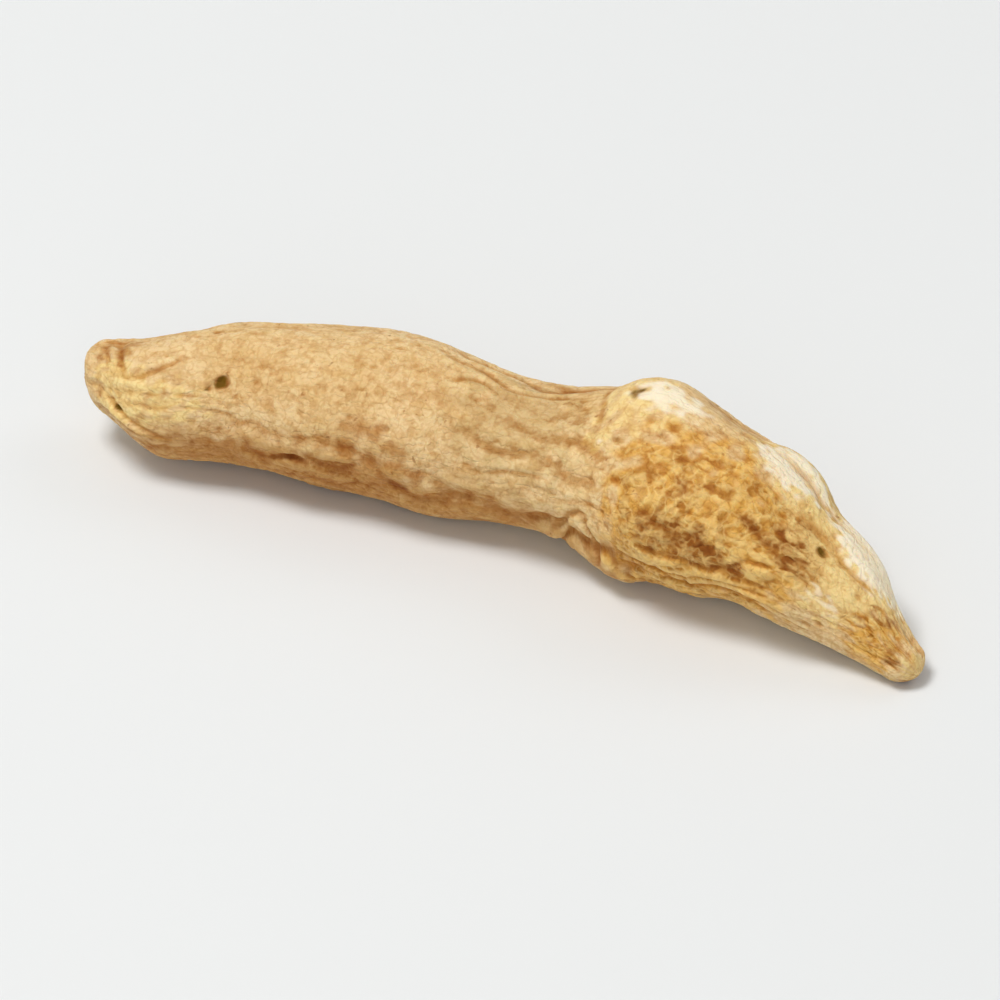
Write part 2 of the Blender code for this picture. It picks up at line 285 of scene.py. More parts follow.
# Pores: how many, their least and most half width, how much longer than wide they are, and their
# depth as a share of the half width.
PORES = 150
PORE_HALF_WIDTH_MM = (0.035, 0.085)
PORE_DRAWN_OUT = (1.0, 2.2)
PORE_DEPTH_SHARE = 0.7
PORE_FROM_ENDS_MM = 0.8
PORE_REACHES = 4
PORE_SEED = 97

# How far folds and marks stray from a straight run, and the size of that wandering.
STRAY_MM = 0.06
STRAY_MESH_MM = (2.2, 1.8)
STRAY_WAVES = 28
STRAY_SEED = 15
STRAY_LEAST_RADIUS_MM = 0.8

# Radius under which all fine relief dies away towards an end.
CALM_RADIUS_MM = 0.9

# Tones of the skin: softness of the edge, raggedness, size of the ragged mesh, and patches, each
# with its distance along, turn, reach along, reach across and strength. A tone shows where the sum
# of its patches passes one half.
TONES = {
    "amber": (0.90, 0.25, 0.8, (
        (19.9, 45, 1.7, 1.9, 1.0),
        (20.2, 350, 2.0, 1.9, 1.0),
        (22.5, 58, 1.9, 2.0, 1.0),
        (22.8, 8, 1.9, 1.8, 0.9),
        (24.2, 60, 1.0, 0.9, 0.5),
        (27.3, 58, 1.0, 1.0, 0.65),
        (27.6, 20, 0.9, 0.8, 0.5),
        (22.0, 222, 2.2, 1.5, 0.8),
        (8.6, 240, 2.4, 1.2, 0.7),
    )),
    # Tan: the rows on the lower side, at turns 205 to 332, brown it there as a painted shade; the
    # other rows are tan patches and grooves of the skin.
    "tan": (1.30, 0.17, 0.7, (
        (9.4, 328, 4.6, 1.8, 1.1),
        (14.5, 332, 3.2, 1.0, 0.5),
        (1.50, 76, 0.25, 0.75, 1.1),
        (0.85, 92, 0.25, 0.75, 1.0),
        (10.5, 9, 1.1, 0.8, 0.45),
        (9.15, 16, 0.30, 0.95, 0.62),
        (9.95, 33, 0.80, 0.28, 0.66),
        (2.80, 60, 0.70, 0.16, 0.5),
        (5.2, 322, 3.4, 1.4, 1.1),
        (20.0, 322, 2.6, 1.0, 1.0),
        (15.5, 120, 1.6, 0.8, 0.5),
        (26.9, 72, 1.0, 0.9, 0.75),
        (13.0, 205, 4.0, 1.2, 0.8),
        (5.0, 262, 3.0, 1.4, 0.7),
    )),
    # Cream: pale skin; along the upper right edge of the thick part it is partly a painted
    # highlight.
    "cream": (0.70, 0.25, 0.6, (
        (21.8, 114, 0.8, 0.8, 1.1),
        (23.0, 116, 1.2, 1.2, 1.3),
        (24.4, 104, 1.1, 1.3, 1.3),
        (25.6, 92, 1.0, 1.2, 1.3),
        (26.6, 132, 1.0, 0.8, 1.2),
        (25.5, 47, 0.8, 0.7, 1.0),
        (17.19, 60, 0.45, 0.22, 1.0),
        (1.5, 36, 0.7, 0.8, 1.0),
        (3.0, 30, 1.6, 0.9, 0.7),
        (1.6, 2, 0.7, 0.3, 0.9),
        (18.0, 92, 1.5, 1.5, 0.80),
        (28.9, 75, 0.5, 0.6, 1.0),
        (7.5, 262, 1.8, 0.9, 0.7),
        (17.0, 200, 1.4, 1.0, 0.7),
    )),
    # Rubbed: skin rubbed white; along the upper right edge of the thick part it is partly a painted
    # highlight.
    "rubbed": (0.95, 0.30, 0.45, (
        (18.75, 99, 0.95, 0.55, 1.25),
        (17.19, 60, 0.34, 0.13, 0.55),
        (21.85, 111, 0.60, 0.62, 1.4),
        (22.45, 112, 0.62, 0.75, 1.6),
        (23.40, 122, 0.50, 0.45, 0.8),
        (24.60, 124, 0.60, 0.50, 1.1),
        (25.40, 120, 0.70, 0.65, 1.5),
        (26.20, 126, 0.60, 0.55, 1.4),
        (26.9, 138, 0.45, 0.40, 0.9),
        (25.3, 44, 0.35, 0.22, 0.8),
        (25.9, 40, 0.28, 0.20, 0.8),
    )),
    # Dull: the upper side of the neck made darker and greyer, a painted shade.
    "dull": (1.10, 0.20, 0.8, (
        (14.5, 66, 2.2, 2.2, 1.1),
    )),
    "brown": (0.85, 0.22, 0.7, (
        (20.20, 19, 1.20, 0.70, 0.76),
        (21.60, 17, 1.10, 0.55, 0.70),
        (22.90, 20, 0.90, 0.40, 0.60),
        (20.48, 49, 0.35, 0.30, 0.7),
        (21.6, 30, 0.30, 0.40, 0.6),
        (23.95, 63, 0.65, 0.60, 1.2),
        (24.60, 58, 0.50, 0.40, 1.1),
        (23.90, 87, 0.30, 0.40, 0.9),
        (22.80, 54, 0.40, 0.30, 0.8),
        (24.66, 80, 0.30, 0.28, 0.8),
        (4.73, 53, 0.24, 0.22, 0.7),
        (4.32, 48, 0.20, 0.18, 0.8),
        (1.64, 9, 0.28, 0.20, 0.8),
        (17.95, 98, 0.34, 0.34, 1.1),
        (17.97, 63, 0.24, 0.18, 0.8),
        (14.22, 14, 0.30, 0.20, 0.6),
        (11.08, -7, 0.35, 0.25, 0.9),
        (7.30, -5, 0.60, 0.18, 0.9),
        (28.20, 40, 0.40, 0.40, 0.7),
        (27.20, 88, 0.40, 0.30, 0.7),
        (28.60, 250, 0.7, 0.8, 0.9),
        (14.0, 205, 3.0, 0.5, 0.7),
        (21.5, 190, 2.2, 0.4, 0.7),
    )),
}

TONE_SEED = 201
TONE_MESH_SHARE = 0.8

# Window over which the skin's height is averaged to find what lies low, as in a furrow, and what
# stands up, as on a crest; and the heights by which their tone has mostly come in. The furrows'
# tone is a painted shade, and the crests' a painted highlight.
WINDOW_MM = 0.20
FURROW_MM = 0.022
CREST_MM = 0.020

# How much wear smooths the relief, and how the rubbed white lies on plain skin, crests and furrows.
WORN_SHARES = {"rubbed": 0.30, "cream": 0.25}
RUBBED_ON_PLAIN = 0.70
RUBBED_ON_CREST = 0.30
RUBBED_IN_FURROW = 0.45

# The dark insides of pits: how sharp and how ragged their edge is, and where it is cut.
PIT_SHARPNESS = 1.5
PIT_CUT = 0.35
PIT_RAGGEDNESS = 0.15
PIT_MESH_MM = (0.3, 0.3)
PIT_SEED = 401
SCAR_EDGE = 1.3
FIELDS = ("furrow", "crest", "amber", "tan", "cream", "rubbed", "dull", "brown", "pit", "scar")

# Noises of the skin's colour: name, whether round or drawn out lengthwise, size and detail.
NOISES_MM = (
    ("cloud", "round", 2.6, 3.0),
    ("streak", "long", 0.30, 4.0),
    ("mottle", "round", 0.80, 4.0),
    ("patchy", "round", 0.40, 3.0),
    ("grain", "round", 0.12, 3.0),
    ("speck", "round", 0.28, 2.0),
    ("coil", "round", 0.40, 1.5),
    ("loop", "round", 0.36, 1.5),
)
NOISE_ROUGHNESS = 0.55
NOISE_DRAWN_OUT = 0.42

# Lines drawn where a noise is near one half: name and noise.
LINES = (("thread", "coil"), ("vein", "loop"))

# Raised cells like those of leather, with creases between them.
LEATHER_CELL_MM = 0.26
LEATHER_DRAWN_OUT = 0.45
LEATHER_STRAY = 0.30
LEATHER_CREASE_SHARE = 0.25

# Masks that are the product of two others.
PRODUCTS = (
    ("mottle", "amber", "mottle"),
    # Crests of the amber skin, for a painted highlight.
    ("worm", "amber", "crest"),
    ("grey_patches", "rubbed", "patchy"),
    # Furrows of the amber skin, for a painted shade.
    ("hollow", "amber", "furrow"),
    ("amber thread", "amber", "thread"),
    ("amber vein", "amber", "vein"),
)

# Layers of the skin's colour, in order: what it follows, from where to where it comes in, its
# greatest share, how it blends, and its colour.
LAYERS = (
    ("cloud", 0.38, 0.66, 0.42, "MIX", "tan"),
    ("streak", 0.42, 0.70, 0.45, "MIX", "tan"),
    # On the lower side the deep tan is a painted shade.
    ("tan", 0.0, 1.0, 0.76, "MIX", "deep_tan"),
    ("amber", 0.0, 1.0, 0.85, "MIX", "amber"),
    ("mottle", 0.36, 0.68, 0.46, "MIX", "deep_amber"),
    ("brown", 0.0, 1.0, 0.68, "MIX", "brown"),
    # Cream; along the upper right edge of the thick part partly a painted highlight.
    ("cream", 0.0, 1.0, 0.85, "MIX", "cream"),
    # A painted shade over the upper side of the neck.
    ("dull", 0.0, 1.0, 0.70, "MULTIPLY", "chalk_shade"),
    ("patchy", 0.46, 0.66, 0.40, "MULTIPLY", "shade"),
    ("thread", 0.440, 0.490, 0.30, "SCREEN", "glow"),
    ("vein", 0.430, 0.485, 0.28, "MULTIPLY", "shade"),
    ("amber vein", 0.400, 0.500, 0.28, "MIX", "deep_amber"),
    ("amber thread", 0.400, 0.500, 0.36, "MIX", "pale_amber"),
    ("grain", 0.45, 0.75, 0.25, "MULTIPLY", "shade"),
    # A painted highlight on the crests.
    ("crest", 0.0, 1.0, 0.60, "SCREEN", "glow"),
    # A painted highlight on the ridges of the amber skin.
    ("worm", 0.0, 1.0, 0.36, "MIX", "pale_amber"),
    # A painted shade in the furrows.
    ("furrow", 0.0, 1.0, 0.75, "MULTIPLY", "shade"),
    # A painted shade in the furrows of the amber skin.
    ("hollow", 0.10, 1.00, 0.12, "MIX", "deep_amber"),
    ("brown", 0.0, 1.0, 0.28, "MULTIPLY", "shade"),
    ("speck", 0.68, 0.76, 0.55, "MIX", "brown"),
    # Rubbed white; along the upper right edge of the thick part partly a painted highlight.
    ("rubbed", 0.0, 0.9, 0.92, "MIX", "rubbed"),
    # Grey patches at random on the rubbed skin.
    ("grey_patches", 0.40, 0.62, 0.28, "MULTIPLY", "chalk_shade"),
    ("scar", 0.0, 1.0, 0.60, "MIX", "brown"),
    ("pit", 0.0, 0.9, 0.95, "MIX", "pit"),
)

# What makes the skin rougher or smoother, what raises its finest relief, and how it takes light: a
# dull waxy surface, with a little light passing under it.
SKIN_ROUGHNESS = 0.50
ROUGHNESS_CHANGES = (("grain", 0.16), ("amber", -0.14), ("rubbed", 0.25), ("furrow", 0.12))
RAISED_BY = (("streak", 1.0), ("leather", 0.9))
RAISED_M = 0.00003
RAISED_STRENGTH = 0.8
SKIN_LIGHT = {
    "IOR": 1.45,
    "Subsurface Weight": 0.20,
    "Subsurface Radius": (1.0, 0.50, 0.22),
    "Subsurface Scale": 0.0003,
    "Specular IOR Level": 0.16,
}
BOARD_LIGHT = {"Roughness": 0.9, "Specular IOR Level": 0.2}

# Lights: name, width, place in metres, and colour.
LIGHTS = (
    ("key", 0.10, (-0.080, -0.055, 0.283), (1.0, 0.98, 0.95)),
    ("fill", 0.24, (0.12, -0.26, 0.16), (1.0, 0.96, 0.90)),
    ("rim", 0.12, (0.09, 0.16, 0.16), (1.0, 1.0, 1.0)),
)
CLIP_RANGE = 100

# Kinds of settings.
RELIEF = {"min": 0, "max": 0.0003, "subtype": "DISTANCE", "unit": "LENGTH"}
ANGLE = {"subtype": "ANGLE", "unit": "ROTATION"}
POWER = {"min": 0, "unit": "POWER"}

FLOOR_REACH_M = 0.42
FLOOR_SWEEP_M = 0.16
FLOOR_WALL_M = 0.20
FLOOR_RINGS = 48
FLOOR_SPOKES = 96


def linear(code):
    """Linear red, green and blue of an sRGB hex colour, by the sRGB standard's own curve."""
    shares = [int(code[place : place + 2], 16) / 255 for place in (1, 3, 5)]
    return tuple(x / 12.92 if x <= 0.04045 else ((x + 0.055) / 1.055) ** 2.4 for x in shares)


def smooth_through(knots, values, at):
    """Cubic curve through the values at the knots, with slopes taken from neighbouring knots."""
    slopes = np.gradient(values, knots)
    cell = np.clip(np.searchsorted(knots, at, side="right") - 1, 0, len(knots) - 2)
    width = knots[cell + 1] - knots[cell]
    t = (at - knots[cell]) / width
    start, end = values[cell], values[cell + 1]
    leave, arrive = slopes[cell] * width, slopes[cell + 1] * width
    return (
        (2 * t**3 - 3 * t**2 + 1) * start
        + (t**3 - 2 * t**2 + t) * leave
        + (3 * t**2 - 2 * t**3) * end
        + (t**3 - t**2) * arrive
    )


def spine(along):
    """Points, side directions and up directions along the spine: a cubic through the stations."""
    table = np.array(STATIONS_MM)
    columns = [smooth_through(table[:, 0], table[:, column], along) for column in (1, 2, 3)]
    ahead = np.clip(along + SLOPE_STEP_MM, 0, WHOLE_MM)
    behind = np.clip(along - SLOPE_STEP_MM, 0, WHOLE_MM)
    run = np.stack(
        [
            smooth_through(table[:, 0], table[:, column], ahead)
            - smooth_through(table[:, 0], table[:, column], behind)
            for column in (1, 2, 3)
        ],
        axis=-1,
    )
    run /= np.linalg.norm(run, axis=-1, keepdims=True)
    side = np.cross(run, (0.0, 0.0, 1.0))
    side /= np.linalg.norm(side, axis=-1, keepdims=True)
    return np.stack(columns, axis=-1), side, np.cross(side, run)


def girth(along):
    """Mean radius: the stations' radius, closed by a squarish cap at the blunt end and by a quarter
    of an ellipse at the thin end."""
    table = np.array(STATIONS_MM)
    radius = smooth_through(table[:, 0], table[:, 4], along)
    into_blunt = np.clip(1 - along / BLUNT_CAP_MM, 0, 1)
    into_thin = np.clip(1 - (WHOLE_MM - along) / THIN_CAP_MM, 0, 1)
    blunt = (1 - into_blunt**BLUNT_CAP_POWER) ** (1 / BLUNT_CAP_POWER)
    return radius * blunt * np.sqrt(1 - into_thin**2)


def across(turn, centre, radius):
    """Distance round the body from a centre line: the shorter way round, times the radius."""
    return (np.mod(turn - centre + np.pi, FULL_TURN) - np.pi) * radius


def ease(value):
    """Rises smoothly from 0 to 1, by 3 x squared less 2 x cubed."""
    value = np.clip(value, 0, 1)
    return value * value * (3 - 2 * value)


def valley(offset, half_width):
    """A fold's cross-section: a bell-shaped valley of depth 1 between two low bell-shaped lips."""
    lips = np.exp(-((np.abs(offset) / half_width - LIP_PLACE_SHARE) ** 2))
    return LIP_HEIGHT_SHARE * lips - np.exp(-((offset / half_width) ** 2))


def bells(rows, along, turn, radius):
    """Sum of bell-shaped mounds: each falls off by its reach along and its reach across."""
    height = np.zeros_like(turn)
    for at, degrees, reach, width, rise in rows:
        offset = across(turn, np.radians(degrees), radius)
        height += rise * np.exp(-(((along - at) / reach) ** 2) - (offset / width) ** 2)
    return height


def fold(along, turn, radius, start, end, turn_start, turn_end, half_width, depth):
    """One lengthwise fold: a valley whose line wanders as a sine and fades at both of its ends."""
    share = (along - start) / (end - start)
    wander = WANDER_RADIANS * np.sin(WANDER_TURNS_PER_MM * along + turn_start)
    centre = np.radians(turn_start + (turn_end - turn_start) * share) + wander
    fade = ease(share / FOLD_FADE_SHARE) * ease((1 - share) / FOLD_FADE_SHARE)
    return depth * fade * valley(across(turn, centre, radius), half_width)


def calmed(along, turn, radius):
    """Share that is left of a fold or wrinkle: 1 less the bells of the smooth places."""
    return np.clip(1 - bells(SMOOTH_PLACES_MM, along, turn, radius), 0, 1)


def folds(along, turn, radius):
    """Sum of the listed folds and of small ones drawn by a seeded rule, evenly round the body."""
    scattered = np.zeros_like(turn)
    draw = np.random.default_rng(SCATTER_SEED)
    for number in range(SCATTERED_FOLDS):
        length = draw.uniform(*SCATTERED_LENGTH_MM)
        start = draw.uniform(SCATTERED_FROM_BLUNT_MM, WHOLE_MM - SCATTERED_FROM_THIN_MM - length)
        degrees = 360 * number / SCATTERED_FOLDS
        degrees += draw.uniform(-SCATTERED_UNEVENNESS_DEGREES, SCATTERED_UNEVENNESS_DEGREES)
        drift = draw.uniform(-SCATTERED_DRIFT_DEGREES, SCATTERED_DRIFT_DEGREES)
        half_width = draw.uniform(*SCATTERED_HALF_WIDTH_MM)
        depth = draw.uniform(*SCATTERED_DEPTH_MM)
        ends = (start, start + length, degrees, degrees + drift)
        scattered += fold(along, turn, radius, *ends, half_width, depth)
    listed = sum(fold(along, turn, radius, *row) for row in LONG_FOLDS_MM)
    return listed + scattered * calmed(along, turn, radius)


def pucker(along, turn):
    """A valley across the body, on a slanting line, that fades at both of its ends."""
    first, last = np.radians(PUCKER_TURNS)
    share = (np.mod(turn, FULL_TURN) - first) / (last - first)
    fade = ease(share / PUCKER_FADE_SHARE) * ease((1 - share) / PUCKER_FADE_SHARE)
    centre = PUCKER_ALONG_MM + PUCKER_SLANT_MM * (share - 0.5)
    return PUCKER_DEPTH_MM * fade * valley(along - centre, PUCKER_HALF_WIDTH_MM)


def end_pleats(along, turn):
    """Cosine pleats round each end, which rise near the end and die away along the body."""
    blunt = ease(along / BLUNT_PLEAT_RISE_MM) * ease(1 - along / BLUNT_PLEAT_REACH_MM)
    from_thin = WHOLE_MM - along
    thin = ease(from_thin / THIN_PLEAT_RISE_MM) * ease(1 - from_thin / THIN_PLEAT_REACH_MM)
    height = BLUNT_PLEAT_HEIGHT_MM * blunt * np.cos(BLUNT_PLEATS * turn)
    return height + THIN_PLEAT_HEIGHT_MM * thin * np.cos(THIN_PLEATS * turn)


def solid_relief(along, turn, radius):
    """Height of the solid's own relief: swellings, folds, pucker, pits and pleats added up."""
    pits = [(at, degrees, reach, width, -depth) for at, degrees, reach, width, depth in PITS_MM]
    height = bells(SWELLINGS_MM, along, turn, radius) + folds(along, turn, radius)
    height += pucker(along, turn) + bells(pits, along, turn, radius) + end_pleats(along, turn)
    return height * ease(along / SMOOTH_BLUNT_MM) * ease((WHOLE_MM - along) / SMOOTH_THIN_MM)


def ripples(along, turn, mesh, waves, seed, spread=WAVE_SPREAD):
    """A smooth random pattern of about unit swing.

    It is a sum of cosine waves whose headings are drawn at random. Their lengths are near mesh[0]
    along the body and mesh[1] across it, within a share that is the spread, and each makes a whole
    number of waves in a full turn, so that the pattern closes on itself.
    """
    draw = np.random.default_rng(seed)
    heading = draw.uniform(0, np.pi, waves)
    pitch = draw.uniform(1 - spread, 1 + spread, waves)
    phase = draw.uniform(0, FULL_TURN, waves)
    per_mm = FULL_TURN / mesh[0] * np.cos(heading) * pitch
    per_turn = np.rint(FULL_TURN * MEAN_RADIUS_MM / mesh[1] * np.sin(heading) * pitch)
    total = np.zeros_like(turn)
    for lengthwise, crosswise, start in zip(per_mm, per_turn, phase):
        total += np.cos(lengthwise * along + crosswise * turn + start)
    return total * math.sqrt(2 / waves)


def creases(along, turn, radius):
    """Valleys along listed lines: a bell-shaped cross-section of the distance to the line."""
    height = np.zeros_like(turn)
    for half_width, depth, *places in CREASES_MM:
        nearest = np.full_like(turn, np.inf)
        from_ends = np.full_like(turn, np.inf)
        for (start, turn_start), (end, turn_end) in zip(places, places[1:]):
            step_along = end - start
            step_across = np.radians(turn_end - turn_start) * radius
            gone_along = along - start
            gone_across = across(turn, np.radians(turn_start), radius)
            reach = step_along**2 + step_across**2
            share = np.clip((gone_along * step_along + gone_across * step_across) / reach, 0, 1)
            apart = np.hypot(gone_along - share * step_along, gone_across - share * step_across)
            nearest = np.minimum(nearest, apart)
        for at, degrees in (places[0], places[-1]):
            gap = np.hypot(along - at, across(turn, np.radians(degrees), radius))
            from_ends = np.minimum(from_ends, gap)
        height += depth * ease(from_ends / CREASE_FADE_MM) * valley(nearest, half_width)
    return height


def wrinkles(along, turn, depth):
    """Furrows along the lines where a random pattern crosses zero, in three sizes of mesh."""
    height = np.zeros_like(turn)
    mean, swing = WRINKLE_STRENGTH
    broad = ripples(along, turn, WRINKLE_STRENGTH_MESH_MM, BROAD_WAVES, WRINKLE_SEED - 1)
    strength = mean + swing * np.tanh(broad)
    for number, (length, width, half_width, share) in enumerate(WRINKLES):
        pattern = ripples(along, turn, (length, width), WRINKLE_WAVES, WRINKLE_SEED + number)
        height -= depth * share * strength * np.exp(-((pattern / half_width) ** 2))
    return height


def worms(along, turn, radius, height):
    """A maze of thin rounded ridges less a maze of thin valleys.

    Each maze follows the lines where a random pattern crosses zero. In the lengthwise places a
    pattern drawn out along the body takes over, and one more pattern makes them all come and go.
    They grow lower where the body grows thin.
    """
    drawn_out = np.clip(bells(WORM_LENGTHWISE_MM, along, turn, radius), 0, 1)
    lines = []
    for seed in (WORM_SEED, WORM_VALLEY_SEED):
        first, second = (
            ripples(along, turn, mesh, WORM_WAVES, seed + number, WORM_SPREAD)
            for number, mesh in enumerate(WORMS_MM)
        )
        pattern = first + (second - first) * drawn_out
        lines.append(np.exp(-((pattern / WORM_HALF_WIDTH) ** 2)))
    breaks = np.tanh(ripples(along, turn, WORM_BREAK_MESH_MM, FINE_WAVES, WORM_BREAK_SEED))
    mean, swing = WORM_STRENGTH
    maze = (lines[0] - WORM_VALLEY_SHARE * lines[1]) * (mean + swing * breaks)
    plain = WORM_PLAIN_SHARE + (WORM_NECK_SHARE - WORM_PLAIN_SHARE) * drawn_out
    return height * maze * ease(radius / WORM_FULL_RADIUS_MM), plain


def pores(along, turn, radius):
    """Small round pits scattered evenly over the skin by a seeded rule."""
    draw = np.random.default_rng(PORE_SEED)
    height = np.zeros_like(turn)
    for _ in range(PORES):
        at = draw.uniform(PORE_FROM_ENDS_MM, WHOLE_MM - PORE_FROM_ENDS_MM)
        centre = draw.uniform(0, FULL_TURN)
        half_width = draw.uniform(*PORE_HALF_WIDTH_MM)
        half_length = half_width * draw.uniform(*PORE_DRAWN_OUT)
        near = np.abs(along[:, 0] - at) < PORE_REACHES * half_length
        offset = across(turn[near], centre, radius[near]) / half_width
        bowl = ((along[near] - at) / half_length) ** 2 + offset**2
        height[near] -= PORE_DEPTH_SHARE * half_width * np.exp(-bowl)
    return height


def tone(name, along, turn, radius):
    """A tone's strength from 0 to 1: its patches' bells, made ragged by a random pattern that dies
    away with them, cut near one half."""
    softness, raggedness, mesh, rows = TONES[name]
    seed = TONE_SEED + list(TONES).index(name)
    patches = bells(rows, along, turn, radius)
    noise = raggedness * ripples(along, turn, (mesh, TONE_MESH_SHARE * mesh), FINE_WAVES, seed)
    return ease((patches + noise * ease(2 * patches) - 0.5) / softness + 0.5)


def averaged(field, reach):
    """Mean over a square window of the grid, taken twice, closed round the body."""
    count = 2 * reach + 1
    for _ in range(2):
        field = sum(np.roll(field, shift, axis=1) for shift in range(-reach, reach + 1)) / count
        padded = np.pad(field, ((reach, reach), (0, 0)), mode="edge")
        field = sum(padded[shift : shift + len(field)] for shift in range(count)) / count
    return field


def ring_places(rings):
    """Distances of the rings: evenly spaced over the curve of each cap, and along the body."""
    blunt, thin = CAP_RINGS
    over_blunt = BLUNT_CAP_MM * (1 - np.cos(np.arange(1, blunt) / blunt * np.pi / 2))
    over_thin = THIN_CAP_MM * (1 - np.cos(np.arange(1, thin) / thin * np.pi / 2))
    body = np.linspace(BLUNT_CAP_MM, WHOLE_MM - THIN_CAP_MM, rings - blunt - thin + 2)
    return np.concatenate([over_blunt, body, WHOLE_MM - over_thin[::-1]])


def outward(points, centre):
    """Directions square to the skin: the cross product of its two slopes, turned to face out."""
    slope_along = np.gradient(points, axis=0)
    slope_round = np.roll(points, -1, axis=1) - np.roll(points, 1, axis=1)
    square = np.cross(slope_along, slope_round)
    square /= np.linalg.norm(square, axis=-1, keepdims=True)
    facing = np.sign(np.sum(square * (points - centre), axis=-1, keepdims=True))
    return square * np.where(facing == 0, 1, facing)


def body_surface(along, turn, radius, relief):
    """The solid's own surface: rings about the spine, a little wider than tall.

    The blunt end leans by a share of the height towards one turn, and holds a bell-shaped dish, the
    scar of the stem.
    """
    centre, side, up = (part[:, None, :] for part in spine(along[:, 0]))
    reach = radius + relief
    wide = reach * np.cos(turn) * WIDER_THAN_TALL
    tall = reach * np.sin(turn) / WIDER_THAN_TALL
    points = centre + side * wide[..., None] + up * tall[..., None]
    on_cap = along < BLUNT_CAP_MM
    points[..., 0] += SCAR_DEPTH_MM * np.exp(-((reach / SCAR_REACH_MM) ** 2)) * on_cap
    lean = BLUNT_SLANT * reach * np.cos(turn - np.radians(BLUNT_SLANT_TURN))
    points[..., 0] -= lean * (1 - ease(along / BLUNT_SLANT_REACH_MM))
    return points, centre


def skin(settings):
    """Points of the skin in millimetres, ring by ring, and the tone fields that colour it.

    The point at a distance along and a turn is the solid's own surface point there, moved square
    to the surface by the fine relief, and never below the floor.
    """
    turns = np.arange(settings.points_round) * FULL_TURN / settings.points_round
    along, turn = np.meshgrid(ring_places(settings.rings), turns, indexing="ij")
    radius = girth(along)
    safe = np.maximum(radius, LEAST_RADIUS_MM)
    calm = ease(radius / CALM_RADIUS_MM)
    stray_along, stray_across = (
        STRAY_MM * calm * ripples(along, turn, STRAY_MESH_MM, STRAY_WAVES, seed)
        for seed in (STRAY_SEED, STRAY_SEED + 1)
    )
    marked_along = along + stray_along
    marked_turn = turn + stray_across / np.maximum(safe, STRAY_LEAST_RADIUS_MM)
    relief = solid_relief(marked_along, marked_turn, safe)
    points, centre = body_surface(along, turn, radius, relief)

    tones = {name: tone(name, along, turn, safe) for name in TONES}
    worn = sum(share * tones[name] for name, share in WORN_SHARES.items())
    worm_height = settings.worm_height / METRES_PER_MM
    wrinkle_depth = settings.wrinkle_depth / METRES_PER_MM
    fine = wrinkles(marked_along, marked_turn, wrinkle_depth) * calmed(along, turn, safe)
    maze, plain = worms(marked_along, marked_turn, safe, worm_height)
    fine += maze * (plain + (1 - plain) * tones["amber"])
    fine += LUMP_HEIGHT_MM * ripples(along, turn, LUMP_MESH_MM, BROAD_WAVES, LUMP_SEED)
    fine = fine * (1 - worn) + pores(along, turn, safe)
    fine += creases(marked_along, marked_turn, safe)
    fine *= calm
    points += outward(points, centre) * fine[..., None]

    window = max(1, round(WINDOW_MM / np.median(np.diff(along[:, 0]))))
    low = averaged(relief + fine, window) - (relief + fine)
    # Below its mean the skin takes a painted shade, and above it a painted highlight.
    furrow = 1 - np.exp(-np.maximum(low, 0) / FURROW_MM)
    crest = 1 - np.exp(-np.maximum(-low, 0) / CREST_MM)
    ragged = ripples(along, turn, PIT_MESH_MM, BROAD_WAVES, PIT_SEED)
    pits = bells(DARK_SPOTS_MM, marked_along, marked_turn, safe)
    pits *= 1 - PIT_RAGGEDNESS + PIT_RAGGEDNESS * ragged
    rubbed = RUBBED_ON_PLAIN + RUBBED_ON_CREST * crest - RUBBED_IN_FURROW * furrow
    fields = {
        **tones,
        "furrow": furrow,
        "crest": crest,
        "rubbed": tones["rubbed"] * rubbed,
        "pit": ease(PIT_SHARPNESS * pits - PIT_CUT),
        "scar": ease(SCAR_EDGE - radius / SCAR_REACH_MM) * (along < BLUNT_CAP_MM),
    }
    place = np.stack([along, radius * np.cos(turn), radius * np.sin(turn)], axis=-1)
    return points, fields, place


def quads_between(rings, count):
    """Numbers of the points in a grid of rings, of the points next to them round the ring, and of
    the corners of the quads between neighbouring points."""
    index = np.arange(rings * count).reshape(rings, count)
    after = np.roll(index, -1, axis=1)
    corners = [index[:-1], index[1:], after[1:], after[:-1]]
    return index, after, np.stack(corners, axis=-1).reshape(-1, 4)


def closed_skin(name, points, ends):
    """A mesh of quads between neighbouring points, with a fan of triangles over each end."""
    rings, count = points.shape[:2]
    index, after, quads = quads_between(rings, count)
    blunt, thin = rings * count, rings * count + 1
    over_blunt = np.stack([np.full(count, blunt), index[0], after[0]], axis=-1)
    over_thin = np.stack([np.full(count, thin), after[-1], index[-1]], axis=-1)
    mesh = bpy.data.meshes.new(name)
    corners = np.concatenate([points.reshape(-1, 3), ends]) * METRES_PER_MM
    faces = quads.tolist() + over_blunt.tolist() + over_thin.tolist()
    mesh.from_pydata(corners.tolist(), [], faces)
    mesh.shade_smooth()
    mesh.update()
    return mesh


def store(mesh, name, values):
    """Keeps one number or one vector for each point of the mesh, for its material to read."""
    if values.ndim == 1:
        held = mesh.attributes.new(name, "FLOAT", "POINT")
        held.data.foreach_set("value", values.astype(np.float32))
    else:
        held = mesh.attributes.new(name, "FLOAT_VECTOR", "POINT")
        held.data.foreach_set("vector", values.astype(np.float32).ravel())


def with_ends(values):
    """The grid's values as one row, followed by the mean of the first ring and of the last."""
    flat = values.reshape(-1, *values.shape[2:])
    return np.concatenate([flat, values[:1].mean(axis=1), values[-1:].mean(axis=1)])


